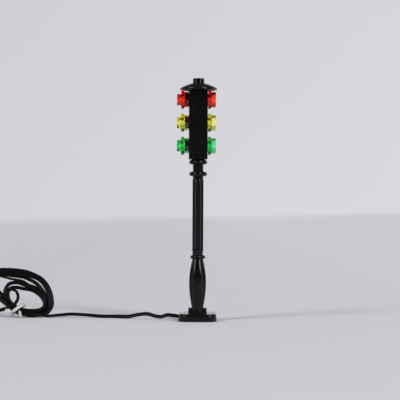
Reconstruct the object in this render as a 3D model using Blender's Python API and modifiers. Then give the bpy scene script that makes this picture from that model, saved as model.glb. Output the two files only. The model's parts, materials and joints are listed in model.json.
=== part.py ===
"""A miniature three-aspect traffic light on a lamp post, in the 8 mm stud system of toy bricks.

Three 1 x 1 bricks stand on a one-piece post. Each has a cross bore along X that holds a half pin on
the left, two LED chips on a small board, and a clear lens on either side. A dish roofs the top brick.
A thin twin lead runs up the post, leaves the base on the left and is wound into a tied hank.
Metres, +Z up, +X to the right, origin at the centre of the base's underside.
"""

import math

import bmesh
import bpy
from mathutils import Matrix, Vector

MM = 0.001

# Driving dimensions of the stud system
BRICK_SIDE = 7.8 * MM
BRICK_HEIGHT = 9.6 * MM
STUD_RADIUS = 2.4 * MM
STUD_HEIGHT = 1.75 * MM
SEAT_GAP = 0.05 * MM  # between faces that stand on each other
FIT = 0.05 * MM  # radial clearance of a stud or a pin in its socket
SOCKET_RADIUS = STUD_RADIUS + FIT
SOCKET_DEPTH = 1.9 * MM
CHANNEL_RADIUS = 1.5 * MM  # hole down through the bricks, for the leads
LEVELS = ("lower", "middle", "upper")

# Lamp post
POST_HEIGHT = 7 * BRICK_HEIGHT
BASE_SIDE = 15.8 * MM
BASE_HEIGHT = 3.2 * MM
BASE_CORNER = 3.9 * MM
BASE_WALL = 1.45 * MM
CAVITY_DEPTH = 2.2 * MM
TUBE_RADIUS = 3.25 * MM
NOTCH_WIDTH = 1.9 * MM
NOTCH_HEIGHT = 2.6 * MM
BORE_RADIUS = 1.3 * MM
COLLAR_TOP = 5.4 * MM
LOBE_RADIUS = 1.8 * MM
LOBE_REACH = 3.85 * MM
BELLY_RADIUS = 3.79 * MM
BELLY_HEIGHT = 15.8 * MM
BELLY_FOOT = (2.5 * MM, 6.0 * MM)  # radius and height where the belly starts
BELLY_HEAD = (2.25 * MM, 25.6 * MM)
NECK_RADIUS = 2.22 * MM
SHAFT_RADIUS = 2.46 * MM
SHAFT_ENDS = (29.3 * MM, 58.4 * MM)
SHAFT_CHAMFER = 0.3 * MM
RINGS = (  # height, outer radius and half thickness
    (26.5 * MM, 3.15 * MM, 0.8 * MM),
    (61.15 * MM, 3.75 * MM, 0.95 * MM),
    (66.05 * MM, 3.8 * MM, 0.95 * MM),
)
FLUTES = 8  # on the belly and on the shaft, one of them at the front
BELLY_FLUTE = 3.35 * MM  # radius at the middle of a flute, at the belly's widest height
BELLY_FLUTE_FALL = 9.2  # how fast that radius falls away above and below, per metre
SHAFT_FLUTE = 2.1 * MM
FLUTE_RUNOUT = 0.9 * MM  # length over which a shaft flute comes to the surface
POST_SIDES = 4 * FLUTES

# Bricks and what they hold
BORE_HEIGHT = 5.7 * MM  # of the cross bore above the brick's underside
COUNTERBORE_RADIUS = 3.15 * MM
COUNTERBORE_DEPTH = 0.9 * MM
PIN_FLANGE_RADIUS = 3.05 * MM
PIN_FLANGE = 0.8 * MM
PIN_LENGTH = 2.15 * MM
PIN_HOLLOW = 1.5 * MM
BOARD = (0.6 * MM, 2.4 * MM, 3.9 * MM)
CHIP = (0.6 * MM, 0.8 * MM, 1.6 * MM)
RESISTOR = (0.45 * MM, 0.8 * MM, 0.8 * MM)

# Lenses
LENS_NECK = 2.0 * MM
LENS_NECK_RADIUS = 3.2 * MM
LENS_FLANGE = 1.2 * MM
LENS_FLANGE_RADIUS = 3.85 * MM
LENS_EDGE = 0.15 * MM
RIGHT_LENS_GAP = 0.15 * MM

# Dish
DISH_RADIUS = 7.8 * MM
DISH_RIM = (96.25 * MM, 97.4 * MM)  # heights of the rim's under and upper side
DISH_CROWN = 99.2 * MM
DISH_BOSS_RADIUS = 3.3 * MM

# Lead and what is on it
LEAD_TUBE = 0.6 * MM  # radius of the plain tube that stands for the flat twin lead
INNER_LEAD = 0.4 * MM
BEND_RADIUS = 2.0 * MM
INNER_RUN_HEIGHT = 1.3 * MM
CABLE_GAP = 0.3 * MM

RUN_ROUTE = (
    (-7.6, 0.0, 1.75), (-10.0, 0.3, 1.95), (-12.6, 0.9, 2.0), (-15.3, 1.9, 1.35), (-18.0, 2.9, 1.65),
    (-21.1, 4.2, 2.35), (-25.0, 6.0, 1.85), (-29.0, 7.7, 0.95), (-32.8, 9.0, 0.66), (-36.6, 9.6, 0.62),
    (-41.5, 10.1, 0.75), (-47.5, 10.7, 1.25), (-53.8, 11.3, 1.5), (-59.0, 11.5, 1.05), (-63.7, 11.3, 0.7),
)
TAIL_ROUTE = (
    (-83.0, 10.9, 3.75), (-85.2, 10.9, 3.35), (-88.8, 11.1, 2.4), (-93.2, 11.2, 1.3), (-98.0, 10.6, 0.75),
    (-103.0, 9.4, 0.70), (-106.5, 8.7, 0.95), (-109.0, 8.5, 1.1),
)

COIL_ROUTE = (  # x, height and section radius of the hank's centreline, from the tie up its left side
    (-77.2, 3.5, 1.7), (-81.2, 6.6, 1.8), (-85.0, 10.0, 2.0), (-88.6, 12.7, 2.1), (-90.3, 15.5, 2.2),
    (-88.4, 17.9, 2.2), (-84.2, 18.8, 2.2), (-79.4, 19.1, 2.2), (-74.5, 18.8, 2.2), (-70.6, 17.5, 2.2),
    (-67.6, 15.2, 2.2), (-65.4, 12.1, 2.2), (-64.2, 8.6, 2.2), (-64.2, 5.4, 2.1), (-66.1, 2.9, 1.9),
    (-69.6, 1.8, 1.7), (-73.5, 1.95, 1.7),
)
COIL_Y = (10.4 * MM, math.tan(math.radians(12)))  # y at the floor, and how far it leans back
COIL_SECTION = 2.2 * MM
TIE_RADII = (2.0 * MM, 2.4 * MM)
TIE_WIDTH = 1.4 * MM

PLUG = (4.6 * MM, 3.4 * MM, 2.2 * MM)
PLUG_END = -109.3 * MM  # the housing's end face where the lead goes in
PLUG_Y = 8.5 * MM
PLUG_WALL = 0.5 * MM
PLUG_BACK = 1.4 * MM
CONTACT = (2.8 * MM, 0.4 * MM, 0.4 * MM)
CONTACT_PITCH = 1.2 * MM

SIDES = 20  # of the round pieces
BLACK = (0.012, 0.012, 0.013)
RED = (0.80, 0.03, 0.01)
YELLOW = (0.68, 0.70, 0.06)
GREEN = (0.03, 0.60, 0.16)
LENS_COLOURS = {"lower": GREEN, "middle": YELLOW, "upper": RED}


# ---------------------------------------------------------------- scene, materials and basic shapes

def clear_scene():
    for obj in list(bpy.data.objects):
        bpy.data.objects.remove(obj, do_unlink=True)


def collection(name):
    made = bpy.data.collections.new(name)
    bpy.context.scene.collection.children.link(made)
    return made


def material(name, colour, roughness, metallic=0.0, transmission=0.0):
    made = bpy.data.materials.get(name) or bpy.data.materials.new(name)
    made.use_nodes = True
    shader = made.node_tree.nodes["Principled BSDF"]
    shader.inputs["Base Color"].default_value = (*colour, 1.0)
    shader.inputs["Roughness"].default_value = roughness
    shader.inputs["Metallic"].default_value = metallic
    shader.inputs["Transmission Weight"].default_value = transmission
    return made


def add(name, mesh, group, finish=None, parent=None):
    obj = bpy.data.objects.new(name, mesh)
    group.objects.link(obj)
    if finish:
        mesh.materials.append(finish)
    obj.parent = parent
    return obj


def mesh_from(shape, name):
    mesh = bpy.data.meshes.new(name)
    shape.to_mesh(mesh)
    shape.free()
    return mesh


def box_mesh(name, size, centre=(0, 0, 0)):
    shape = bmesh.new()
    bmesh.ops.create_cube(shape, size=1.0)
    bmesh.ops.scale(shape, vec=size, verts=shape.verts)
    bmesh.ops.translate(shape, vec=centre, verts=shape.verts)
    return mesh_from(shape, name)


def rod_mesh(name, radius, low, high, sides=SIDES, end_radius=None):
    """A cylinder along Z from low to high, or a cone that ends at end_radius."""
    shape = bmesh.new()
    bmesh.ops.create_cone(
        shape, cap_ends=True, segments=sides, radius1=radius,
        radius2=radius if end_radius is None else end_radius, depth=high - low,
    )
    bmesh.ops.translate(shape, vec=(0, 0, (low + high) / 2), verts=shape.verts)
    return mesh_from(shape, name)


def turned(name, outline, group, finish=None, closed=False, sides=SIDES):
    """The outline (radius, height), running down the outer side, turned about Z."""
    shape = bmesh.new()
    points = [shape.verts.new((radius, 0, height)) for radius, height in outline]
    for first, second in zip(points, points[1:] + points[:1] if closed else points[1:]):
        shape.edges.new((first, second))
    obj = add(name, mesh_from(shape, name), group, finish)
    screw = obj.modifiers.new("turn", "SCREW")
    screw.steps = screw.render_steps = sides
    screw.use_merge_vertices = True
    screw.merge_threshold = 1e-6
    return obj


def combine(obj, other, operation):
    step = obj.modifiers.new(f"{operation.lower()} {other.name}", "BOOLEAN")
    step.operation = operation
    step.object = other
    return step


def settle(obj):
    """Makes the object's modifiers its own mesh, so that it can be cut or placed further."""
    bpy.context.view_layer.update()
    graph = bpy.context.evaluated_depsgraph_get()
    mesh = bpy.data.meshes.new_from_object(obj.evaluated_get(graph))
    obj.modifiers.clear()
    obj.data = mesh
    return obj


def smooth(obj, angle=35):
    obj.data.shade_smooth()
    obj.data.set_sharp_from_angle(angle=math.radians(angle))


def arc(centre, radius, start, end, steps):
    """Points (radius, height) on a round stretch of an outline, from start to end in degrees."""
    angles = [math.radians(start + (end - start) * i / steps) for i in range(steps + 1)]
    return [(centre[0] + radius * math.cos(a), centre[1] + radius * math.sin(a)) for a in angles]


def smooth_route(points, step, closed=False):
    """Points a step apart on the smooth curve through a route's own points."""
    knots = [Vector(p) * MM for p in points]
    if closed:
        knots = [knots[-1], *knots, knots[0], knots[1]]
    else:
        knots = [2 * knots[0] - knots[1], *knots, 2 * knots[-1] - knots[-2]]
    line = []
    for a, b, c, d in zip(knots, knots[1:], knots[2:], knots[3:]):
        count = max(1, round((c - b).length / step))
        for i in range(count):
            t = i / count
            line.append(0.5 * (2 * b + (c - a) * t + (2 * a - 5 * b + 4 * c - d) * t**2
                               + (3 * b - a - 3 * c + d) * t**3))
    return line if closed else [*line, knots[-2]]


def tube(name, points, radius, group, finish, cyclic=False, widths=None):
    """A round tube along the points; widths scales its radius at each of them."""
    curve = bpy.data.curves.new(name, "CURVE")
    curve.dimensions = "3D"
    curve.bevel_depth = radius
    curve.bevel_resolution = 2
    curve.use_fill_caps = True
    spline = curve.splines.new("POLY")
    spline.points.add(len(points) - 1)
    for i, point in enumerate(points):
        spline.points[i].co = (*point, 1.0)
        spline.points[i].radius = widths[i] if widths else 1.0
    spline.use_cyclic_u = cyclic
    curve.materials.append(finish)
    obj = bpy.data.objects.new(name, curve)
    group.objects.link(obj)
    return obj


def hide_cutters(group):
    for obj in group.objects:
        obj.hide_render = True
        obj.display_type = "WIRE"


# ---------------------------------------------------------------- lamp post

def belly(height):
    """Radius of the baluster: two sine quarters that meet at its widest height."""
    radius, end = BELLY_FOOT if height < BELLY_HEIGHT else BELLY_HEAD
    share = (height - end) / (BELLY_HEIGHT - end)
    return radius + (BELLY_RADIUS - radius) * math.sin(math.pi / 2 * max(0.0, min(1.0, share)))


def post_outline():
    """The turned outline of the post above its base, down the outer side."""
    low, middle, high = RINGS
    top = POST_HEIGHT + STUD_HEIGHT
    start, end = SHAFT_ENDS
    outline = [(0, top), (STUD_RADIUS, top), (STUD_RADIUS, POST_HEIGHT), (high[1] - high[2], POST_HEIGHT)]
    outline += ring(high) + ring(middle)
    outline += [(NECK_RADIUS, end + SHAFT_CHAMFER)]
    outline += [(SHAFT_RADIUS, height) for height in (end, end - FLUTE_RUNOUT, start + FLUTE_RUNOUT, start)]
    outline += [(NECK_RADIUS, start - SHAFT_CHAMFER)]
    outline += ring(low)
    rows = 9
    for i in range(1, rows + 1):
        height = BELLY_HEAD[1] + (BELLY_FOOT[1] - BELLY_HEAD[1]) * i / rows
        outline.append((belly(height), height))
    return [*outline, (BELLY_FOOT[0], CAVITY_DEPTH + 0.4 * MM), (0, CAVITY_DEPTH + 0.4 * MM)]


def ring(size):
    """The half round outline of one of the post's rings, between two necks."""
    height, reach, half = size
    rounded = arc((reach - half, height), half, 90, -90, 4)
    return [(NECK_RADIUS, height + half), *rounded, (NECK_RADIUS, height - half)]


def fluted(radius, angle, height):
    """The radius left at this angle and height once the flutes are scooped from the post."""
    start, end = SHAFT_ENDS
    if height < BELLY_HEAD[1]:
        middle = BELLY_FLUTE - BELLY_FLUTE_FALL * (height - BELLY_HEIGHT) ** 2
        edge = BELLY_RADIUS - BELLY_FLUTE / math.cos(math.pi / FLUTES)
    elif start - SHAFT_CHAMFER < height < end + SHAFT_CHAMFER:
        runout = max(0.0, 1 - min(height - start, end - height) / FLUTE_RUNOUT)
        middle = SHAFT_FLUTE + (SHAFT_RADIUS - SHAFT_FLUTE) * runout**2
        edge = SHAFT_RADIUS - SHAFT_FLUTE / math.cos(math.pi / FLUTES)
    else:
        return radius
    half = math.pi / FLUTES
    away = (angle + half) % (2 * half) - half
    return min(radius, middle / math.cos(away) + edge * (away / half) ** 2)


def scoop_flutes(mesh):
    for vertex in mesh.vertices:
        x, y, height = vertex.co
        radius = math.hypot(x, y)
        if radius > BORE_RADIUS:
            scale = fluted(radius, math.atan2(y, x), height) / radius
            vertex.co = (x * scale, y * scale, height)


def rounded_base(group, finish):
    """The square foot, with round corners and a softened upper edge."""
    shape = bmesh.new()
    bmesh.ops.create_cube(shape, size=1.0)
    bmesh.ops.scale(shape, vec=(BASE_SIDE, BASE_SIDE, BASE_HEIGHT), verts=shape.verts)
    bmesh.ops.translate(shape, vec=(0, 0, BASE_HEIGHT / 2), verts=shape.verts)
    upright = [e for e in shape.edges if abs(e.verts[0].co.z - e.verts[1].co.z) > BASE_HEIGHT / 2]
    bmesh.ops.bevel(shape, geom=upright, offset=BASE_CORNER, segments=6, profile=0.5, affect="EDGES")
    rim = [e for e in shape.edges if min(v.co.z for v in e.verts) > BASE_HEIGHT * 0.99]
    bmesh.ops.bevel(shape, geom=rim, offset=0.4 * MM, segments=2, profile=0.5, affect="EDGES")
    return add("lamp_post", mesh_from(shape, "lamp_post"), group, finish)


def lamp_post(parts, cutters, black):
    base = rounded_base(parts, black)
    inner = BASE_SIDE - 2 * BASE_WALL
    cavity = add("cavity_cutter", box_mesh("cavity", (inner, inner, 2 * CAVITY_DEPTH)), cutters)
    combine(base, cavity, "DIFFERENCE")
    centre_tube = rod_mesh("centre_tube", TUBE_RADIUS, 0.0, CAVITY_DEPTH + 0.3 * MM)
    combine(base, add("centre_tube", centre_tube, cutters), "UNION")
    for i in range(4):
        angle = math.pi / 2 * i
        lobe = add(
            f"collar_lobe_{i}",
            rod_mesh("lobe", LOBE_RADIUS, BASE_HEIGHT - 0.3 * MM, COLLAR_TOP, 16),
            cutters,
        )
        reach = LOBE_REACH - LOBE_RADIUS
        lobe.location = (reach * math.cos(angle), reach * math.sin(angle), 0)
        combine(base, lobe, "UNION")
    shaft = settle(turned("shaft", post_outline(), cutters, sides=POST_SIDES))
    scoop_flutes(shaft.data)
    combine(base, shaft, "UNION")
    socket = rod_mesh("tube_socket", SOCKET_RADIUS, -0.5 * MM, CAVITY_DEPTH)
    combine(base, add("tube_socket_cutter", socket, cutters), "DIFFERENCE")
    flare = rod_mesh("flare", 1.7 * MM, CAVITY_DEPTH - 0.3 * MM, 4.2 * MM, 16, BORE_RADIUS)
    combine(base, add("flare_cutter", flare, cutters), "DIFFERENCE")
    bore = rod_mesh("bore", BORE_RADIUS, 3.8 * MM, POST_HEIGHT + 2 * STUD_HEIGHT, 16)
    combine(base, add("bore_cutter", bore, cutters), "DIFFERENCE")
    wall = (-BASE_SIDE / 2, 0, 0)
    notch = box_mesh("notch", (2 * BASE_WALL + 1.0 * MM, NOTCH_WIDTH, 2 * NOTCH_HEIGHT), wall)
    combine(base, add("notch_cutter", notch, cutters), "DIFFERENCE")
    slot_size = (2 * SOCKET_RADIUS, NOTCH_WIDTH, 3 * CAVITY_DEPTH)
    slot = box_mesh("slot", slot_size, (-TUBE_RADIUS, 0, -CAVITY_DEPTH / 2))
    combine(base, add("slot_cutter", slot, cutters), "DIFFERENCE")
    smooth(settle(base))


# ---------------------------------------------------------------- bricks and what they hold

def along_x(obj, x, height):
    """Lays a piece turned about Z along X: its top faces -X and its zero height is at x."""
    turn = Matrix.Rotation(-math.pi / 2, 4, "Y")
    obj.matrix_world = Matrix.Translation((x, 0, height)) @ turn
    return obj


def brick(level, bottom, parts, cutters, black):
    low = bottom + SEAT_GAP
    high = bottom + BRICK_HEIGHT
    bore_at = bottom + BORE_HEIGHT
    side = BRICK_SIDE
    body = box_mesh("brick", (side, side, high - low), (0, 0, (low + high) / 2))
    obj = add(f"brick_{level}", body, parts, black)
    stud = rod_mesh("stud", STUD_RADIUS, high - 0.3 * MM, high + STUD_HEIGHT)
    combine(obj, add(f"stud_{level}", stud, cutters), "UNION")
    width = 2 * SOCKET_RADIUS
    socket = box_mesh("socket", (width, width, 2 * SOCKET_DEPTH), (0, 0, low))
    combine(obj, add(f"socket_cutter_{level}", socket, cutters), "DIFFERENCE")
    channel = rod_mesh("channel", CHANNEL_RADIUS, low - SEAT_GAP, high + 2 * STUD_HEIGHT, 16)
    combine(obj, add(f"channel_cutter_{level}", channel, cutters), "DIFFERENCE")
    half = side / 2
    step = half - COUNTERBORE_DEPTH
    outline = [
        (0, half + 1 * MM), (COUNTERBORE_RADIUS, half + 1 * MM), (COUNTERBORE_RADIUS, step),
        (SOCKET_RADIUS, step), (SOCKET_RADIUS, -step), (COUNTERBORE_RADIUS, -step),
        (COUNTERBORE_RADIUS, -half - 1 * MM), (0, -half - 1 * MM),
    ]
    bore = along_x(turned(f"bore_cutter_{level}", outline, cutters), 0, bore_at)
    combine(obj, bore, "DIFFERENCE")
    smooth(settle(obj))


def stud_pin(level, bore_at, parts, black):
    """A hollow half pin: a stud outside, a flange in the counterbore and a pin in the bore."""
    flange_face = BRICK_SIDE / 2 - SEAT_GAP
    top = flange_face + STUD_HEIGHT
    foot = flange_face - PIN_FLANGE
    outline = [
        (PIN_HOLLOW, top), (STUD_RADIUS, top), (STUD_RADIUS, flange_face), (PIN_FLANGE_RADIUS, flange_face),
        (PIN_FLANGE_RADIUS, foot), (STUD_RADIUS, foot), (STUD_RADIUS, foot - PIN_LENGTH),
        (PIN_HOLLOW, foot - PIN_LENGTH),
    ]
    smooth(settle(along_x(turned(f"stud_pin_{level}", outline, parts, black, closed=True), 0, bore_at)))


def lens_outline():
    """From the stud's end down to the neck's, with the socket that the neck holds."""
    body = LENS_NECK + LENS_FLANGE
    edge = LENS_EDGE
    return [
        (0, body + STUD_HEIGHT), (STUD_RADIUS, body + STUD_HEIGHT), (STUD_RADIUS, body),
        (LENS_FLANGE_RADIUS - edge, body), (LENS_FLANGE_RADIUS, body - edge),
        (LENS_FLANGE_RADIUS, LENS_NECK + edge), (LENS_FLANGE_RADIUS - edge, LENS_NECK),
        (LENS_NECK_RADIUS, LENS_NECK), (LENS_NECK_RADIUS, 0), (SOCKET_RADIUS, 0),
        (SOCKET_RADIUS, SOCKET_DEPTH), (0, SOCKET_DEPTH),
    ]


def lenses(level, bore_at, parts, finish):
    """The left lens has its stud outside; the right one is reversed, with its stud in the bore."""
    face = BRICK_SIDE / 2
    body = LENS_NECK + LENS_FLANGE
    for side, x in (("left", -face - SEAT_GAP), ("right", face + RIGHT_LENS_GAP + body)):
        lens = along_x(turned(f"lens_{side}_{level}", lens_outline(), parts, finish), x, bore_at)
        smooth(settle(lens))


def electronics(level, bore_at, parts, finishes):
    """A small board across the bore, an LED chip facing each lens, and a resistor."""
    board = add(f"led_board_{level}", box_mesh("board", BOARD), parts, finishes["board"])
    board.location = (0, 0, bore_at)
    out = BOARD[0] / 2 + FIT + CHIP[0] / 2
    for side, x, rise in (("left", -out, 0.0), ("right", out, 0.35 * MM)):
        chip = add(f"led_{side}_{level}", box_mesh("chip", CHIP), parts, finishes["chip"])
        chip.location = (x, 0, bore_at + rise)
    resistor = add(f"resistor_{level}", box_mesh("resistor", RESISTOR), parts, finishes["resistor"])
    resistor.location = (BOARD[0] / 2 + FIT + RESISTOR[0] / 2, 0, bore_at - 1.25 * MM)


def leads_inside(parts, finish):
    """The lead up the post, and a short lead from board to board through the hollow studs."""
    turn = [(-BEND_RADIUS + BEND_RADIUS * math.sin(a), 0, INNER_RUN_HEIGHT + BEND_RADIUS * (1 - math.cos(a)))
            for a in (math.radians(15 * i) for i in range(7))]
    start = [(-7.3 * MM, 0, 1.65 * MM), (-6.7 * MM, 0, 1.5 * MM), (-6.1 * MM, 0, INNER_RUN_HEIGHT)]
    top = POST_HEIGHT + 1.4 * MM
    tube("riser_lead", [*start, *turn, (0, 0, top)], INNER_LEAD, parts, finish)
    low = top + CABLE_GAP
    for i, level in enumerate(LEVELS):
        bore_at = POST_HEIGHT + i * BRICK_HEIGHT + BORE_HEIGHT
        high = bore_at - BOARD[2] / 2 - 2 * FIT
        tube(f"link_lead_{level}", [(0, 0, low), (0, 0, high)], INNER_LEAD, parts, finish)
        low = bore_at + BOARD[2] / 2 + 2 * FIT


def strain_relief(parts, finish):
    """A sleeve on the lead, wider than the notch, so that a pull on the lead stops at the wall."""
    outline = [(0.5 * MM, 1.05 * MM), (0.85 * MM, 1.05 * MM), (0.85 * MM, -1.05 * MM), (0.5 * MM, -1.05 * MM)]
    sleeve = turned("strain_relief", outline, parts, finish, closed=True, sides=12)
    wide = Matrix.Diagonal((1.0, 1.3, 1.0, 1.0))
    place = Matrix.Translation((-4.9 * MM, 0, INNER_RUN_HEIGHT))
    settle(sleeve).data.transform(place @ Matrix.Rotation(-math.pi / 2, 4, "Y") @ wide)


def section(number, level, parts, cutters, finishes):
    bottom = POST_HEIGHT + number * BRICK_HEIGHT
    bore_at = bottom + BORE_HEIGHT
    brick(level, bottom, parts, cutters, finishes["black"])
    stud_pin(level, bore_at, parts, finishes["black"])
    electronics(level, bore_at, parts, finishes)
    clear = material(f"clear_{level}", LENS_COLOURS[level], 0.08, transmission=0.8)
    lenses(level, bore_at, parts, clear)


# ---------------------------------------------------------------- dish

def cap_dish(parts, black):
    seat = POST_HEIGHT + 3 * BRICK_HEIGHT + SEAT_GAP
    low, high = DISH_RIM
    half = (high - low) / 2
    crown = []
    for i in range(7):
        share = i / 6
        radius = STUD_RADIUS + (DISH_RADIUS - half * 0.6 - STUD_RADIUS) * share
        crown.append((radius, DISH_CROWN - (DISH_CROWN - high) * share**1.25))
    outline = [(0, DISH_CROWN + STUD_HEIGHT), (STUD_RADIUS, DISH_CROWN + STUD_HEIGHT), *crown]
    outline += arc((DISH_RADIUS - half, (low + high) / 2), half, 50, -90, 4)
    outline += [(6.2 * MM, low + 0.45 * MM), (DISH_BOSS_RADIUS + 0.1 * MM, low + 1.35 * MM)]
    outline += [(DISH_BOSS_RADIUS, seat), (SOCKET_RADIUS, seat), (SOCKET_RADIUS, seat + SOCKET_DEPTH)]
    outline += [(0, seat + SOCKET_DEPTH)]
    smooth(settle(turned("cap_dish", outline, parts, black, sides=28)))


# ---------------------------------------------------------------- lead, hank, tie and plug

def coil_point(x, height):
    """A point on the hank's centreline, which stands on edge and leans back a little."""
    return Vector((x, COIL_Y[0] + COIL_Y[1] * height, height))


def cord(parts, finish):
    tube("cord_run", smooth_route(RUN_ROUTE, 2.6 * LEAD_TUBE), LEAD_TUBE, parts, finish)
    tube("cord_tail", smooth_route(TAIL_ROUTE, 2.6 * LEAD_TUBE), LEAD_TUBE, parts, finish)
    line = smooth_route(COIL_ROUTE, 1.8 * MM, closed=True)
    widths = [section / COIL_SECTION for _, _, section in line]
    points = [coil_point(x, height) for x, height, _ in line]
    tube("cord_coil", points, COIL_SECTION, parts, finish, True, widths)


def twist_tie(parts, finish):
    """A band round the hank."""
    inner, outer = TIE_RADII
    half = TIE_WIDTH / 2
    outline = [(inner, half), (outer, half), (outer, -half), (inner, -half)]
    band = turned("twist_tie", outline, parts, finish, closed=True)
    after, tied, before = (coil_point(x * MM, z * MM) for x, z, _ in (COIL_ROUTE[-1], *COIL_ROUTE[:2]))
    turn = (before - after).to_track_quat("Z", "Y").to_matrix().to_4x4()
    settle(band).data.transform(Matrix.Translation(tied) @ turn)


def plug(parts, cutters, finishes):
    length, width, height = PLUG
    middle = (PLUG_END - length / 2, PLUG_Y, height / 2)
    shape = bmesh.new()
    bmesh.ops.create_cube(shape, size=1.0)
    bmesh.ops.scale(shape, vec=PLUG, verts=shape.verts)
    bmesh.ops.bevel(shape, geom=shape.edges[:], offset=0.2 * MM, segments=1, affect="EDGES")
    bmesh.ops.translate(shape, vec=middle, verts=shape.verts)
    housing = add("plug_housing", mesh_from(shape, "plug_housing"), parts, finishes["housing"])
    mouth = (2 * (length - PLUG_BACK), width - 2 * PLUG_WALL, height - 2 * PLUG_WALL)
    cutter = box_mesh("mouth", mouth, (PLUG_END - length, PLUG_Y, height / 2))
    combine(housing, add("mouth_cutter", cutter, cutters), "DIFFERENCE")
    settle(housing)
    x = PLUG_END - PLUG_BACK - 2 * FIT - CONTACT[0] / 2
    for name, side in (("plug_contact_a", -1), ("plug_contact_b", 1)):
        contact = add(name, box_mesh(name, CONTACT), parts, finishes["contact"])
        contact.location = (x, PLUG_Y + side * CONTACT_PITCH / 2, height / 2)


def build():
    clear_scene()
    parts = collection("traffic_light")
    cutters = collection("cutters")
    finishes = {
        "black": material("black_gloss_plastic", BLACK, 0.16),
        "board": material("board_green", (0.02, 0.16, 0.07), 0.4),
        "chip": material("led_chip", (0.85, 0.78, 0.35), 0.35),
        "resistor": material("resistor_black", (0.03, 0.03, 0.035), 0.5),
        "lead": material("lead_black", BLACK, 0.35),
        "sleeve": material("glue_clear", (0.75, 0.72, 0.62), 0.3),
        "tie": material("tie_white", (0.82, 0.82, 0.80), 0.45),
        "housing": material("connector_white", (0.80, 0.79, 0.74), 0.4),
        "contact": material("contact_tin", (0.75, 0.74, 0.70), 0.3, metallic=1.0),
    }
    lamp_post(parts, cutters, finishes["black"])
    for number, level in enumerate(LEVELS):
        section(number, level, parts, cutters, finishes)
    cap_dish(parts, finishes["black"])
    leads_inside(parts, finishes["lead"])
    strain_relief(parts, finishes["sleeve"])
    cord(parts, finishes["lead"])
    twist_tie(parts, finishes["tie"])
    plug(parts, cutters, finishes)
    hide_cutters(cutters)


build()
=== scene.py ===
"""Looks for the miniature traffic light: camera, lead, moulded pieces, materials and studio.

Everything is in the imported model's own frame: metres, +Z up, +X to the right, origin under the base.
"""

import json
import math

import bmesh
import bpy
from mathutils import Matrix, Vector


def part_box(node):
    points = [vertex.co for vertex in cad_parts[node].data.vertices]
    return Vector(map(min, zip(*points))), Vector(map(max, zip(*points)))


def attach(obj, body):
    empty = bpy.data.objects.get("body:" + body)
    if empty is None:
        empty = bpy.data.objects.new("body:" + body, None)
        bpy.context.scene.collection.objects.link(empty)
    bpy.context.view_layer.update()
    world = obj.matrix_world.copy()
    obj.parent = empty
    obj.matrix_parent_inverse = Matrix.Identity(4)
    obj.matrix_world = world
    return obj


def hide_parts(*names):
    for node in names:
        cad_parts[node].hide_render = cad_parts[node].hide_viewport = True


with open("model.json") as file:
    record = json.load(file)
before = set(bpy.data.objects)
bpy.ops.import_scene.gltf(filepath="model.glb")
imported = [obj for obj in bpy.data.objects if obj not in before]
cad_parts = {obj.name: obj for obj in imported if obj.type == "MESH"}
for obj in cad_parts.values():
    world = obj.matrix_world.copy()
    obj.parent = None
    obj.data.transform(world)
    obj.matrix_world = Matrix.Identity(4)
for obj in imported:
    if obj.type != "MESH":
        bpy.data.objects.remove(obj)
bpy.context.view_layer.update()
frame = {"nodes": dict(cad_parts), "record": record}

MM = 0.001

# ---------------------------------------------------------------- sizes, as the frame has them

STUD_RADIUS = 2.4 * MM
STUD_HEIGHT = 1.75 * MM
SOCKET_RADIUS = 2.45 * MM
SOCKET_DEPTH = 1.9 * MM
BRICK_SIDE = 7.8 * MM
BRICK_HEIGHT = 9.6 * MM
SEAT_GAP = 0.05 * MM
BORE_HEIGHT = 5.7 * MM
CHANNEL_RADIUS = 1.5 * MM
COUNTERBORE = (3.15 * MM, 0.9 * MM)  # radius and depth
EDGE = 0.13 * MM  # round on the edges of a moulded piece
SIDES = 96

POST_HEIGHT = 67.2 * MM
BASE_SIDE = 15.8 * MM
BASE_HEIGHT = 3.2 * MM
BASE_CORNER = 3.9 * MM
BASE_WALL = 1.45 * MM
CAVITY_DEPTH = 2.2 * MM
TUBE_RADIUS = 3.25 * MM
NOTCH = (1.9 * MM, 2.6 * MM)  # width and height
BORE_RADIUS = 1.3 * MM
COLLAR_TOP = 5.4 * MM
LOBE_RADIUS = 1.9 * MM
LOBE_REACH = 3.95 * MM
BELLY_RADIUS = 3.79 * MM
BELLY_HEIGHT = 15.8 * MM
BELLY_FOOT = (2.5 * MM, 6.0 * MM)
BELLY_HEAD = (2.25 * MM, 25.6 * MM)
NECK_RADIUS = 2.22 * MM
SHAFT_RADIUS = 2.46 * MM
SHAFT_ENDS = (29.3 * MM, 58.4 * MM)
SHAFT_CHAMFER = 0.3 * MM
RINGS = (  # height, outer radius and half thickness
    (26.5 * MM, 3.15 * MM, 0.8 * MM),
    (61.15 * MM, 3.75 * MM, 0.95 * MM),
    (66.05 * MM, 3.8 * MM, 0.95 * MM),
)
FLUTES = 8
BELLY_FLUTE = 3.35 * MM
BELLY_FLUTE_FALL = 9.2
SHAFT_FLUTE = 2.1 * MM
FLUTE_RUNOUT = 0.9 * MM

PIN_FLANGE = (3.05 * MM, 0.8 * MM)
PIN_LENGTH = 2.15 * MM
PIN_HOLLOW = 1.5 * MM
LENS_NECK = (3.2 * MM, 2.0 * MM)
LENS_FLANGE = (3.85 * MM, 1.2 * MM)
LENS_RECESS = (1.45 * MM, 4.2 * MM)  # blind hole up into the stud: its radius and its height
RIGHT_LENS_GAP = 0.15 * MM
LEVELS = ("lower", "middle", "upper")

DISH_RADIUS = 7.8 * MM
DISH_TOP = 100.95 * MM
DISH_CROWN = 98.95 * MM
DISH_WIDEST = 96.36 * MM
DISH_EDGE = (0.8 * MM, 0.82 * MM, 0.34 * MM)  # how far its round edge reaches inwards, upwards and downwards
DISH_BOSS_RADIUS = 3.3 * MM

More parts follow.
